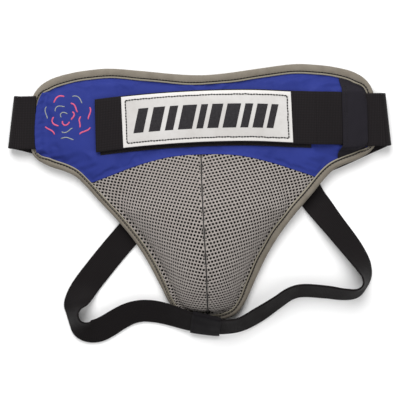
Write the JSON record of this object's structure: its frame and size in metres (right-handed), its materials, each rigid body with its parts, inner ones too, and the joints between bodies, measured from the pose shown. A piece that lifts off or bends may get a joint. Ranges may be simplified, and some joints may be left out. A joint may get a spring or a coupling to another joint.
{
  "type": "pelvic protector",
  "caption": "Padded pelvic protector with a hard cup under a mesh front, a wide elastic waist belt with a hook-and-loop front closure, and elastic leg straps, lying on its back.",
  "frame": {"origin": "centre of the bottom of the bounding box, on the surface that the protector lies on", "axes": "+X to the right across the belt as seen from the front, +Y up the panel from the crotch to the waist, +Z out of the front, away from the wearer"},
  "size_m": [0.3684, 0.2629, 0.05],
  "materials": {
    "nylon_blue": "smooth woven nylon with a soft sheen",
    "spacer_mesh": "open-hole warp-knit spacer mesh",
    "liner_fabric": "brushed wicking knit",
    "cup_plastic": "moulded polycarbonate, satin",
    "bead_rubber": "soft extruded rubber edge",
    "foam": "closed-cell foam sheet",
    "binding_tape": "folded woven tape, stitched",
    "hook_and_loop": "nylon hook and loop",
    "label_film": "silver coated patch with a satin face",
    "webbing_black": "ribbed elastic webbing"
  },
  "bodies": {
    "panel": {"yoke_cover": "nylon_blue", "mesh_cover_left": "spacer_mesh", "mesh_cover_right": "spacer_mesh", "comfort_liner": "liner_fabric", "hard_cup": "cup_plastic", "cup_rim_bead": "bead_rubber", "cup_surround_foam": "foam", "yoke_foam_center": "foam", "wing_foam_left": "foam", "wing_foam_right": "foam", "edge_binding": "binding_tape", "loop_patch": "hook_and_loop", "waist_belt": "webbing_black", "belt_keeper": "webbing_black", "crotch_keeper": "webbing_black", "leg_strap_left_anchor": "webbing_black", "leg_strap_crotch": "webbing_black", "leg_strap_right_anchor": "webbing_black"},
    "tab_link": {"tab_link": "webbing_black"},
    "closure_tab": {"closure_tab": "webbing_black", "hook_patch": "hook_and_loop", "label_patch": "label_film"},
    "leg_loop_left": {"leg_strap_left": "webbing_black"},
    "leg_loop_right": {"leg_strap_right": "webbing_black"}
  },
  "joints": [
    {"name": "tab_link_lift", "type": "hinge", "parent": "panel", "child": "tab_link", "pos_m": [0.1354, 0.076, 0.0183], "axis": [0, 1, 0], "range_deg": [0, 60]},
    {"name": "closure_tab_lift", "type": "hinge", "parent": "tab_link", "child": "closure_tab", "pos_m": [0.09015, 0.08075, 0.02197], "axis": [0, 1, 0], "range_deg": [0, 120]},
    {"name": "leg_loop_left_lift", "type": "hinge", "parent": "panel", "child": "leg_loop_left", "pos_m": [-0.0804, -0.0315, 0.0028], "axis": [-0.5185, 0.8377, -0.1718], "range_deg": [0, 70]},
    {"name": "leg_loop_right_lift", "type": "hinge", "parent": "panel", "child": "leg_loop_right", "pos_m": [0.1129, 0.0012, 0.006], "axis": [-0.539, -0.8313, 0.1358], "range_deg": [0, 70]}
  ]
}
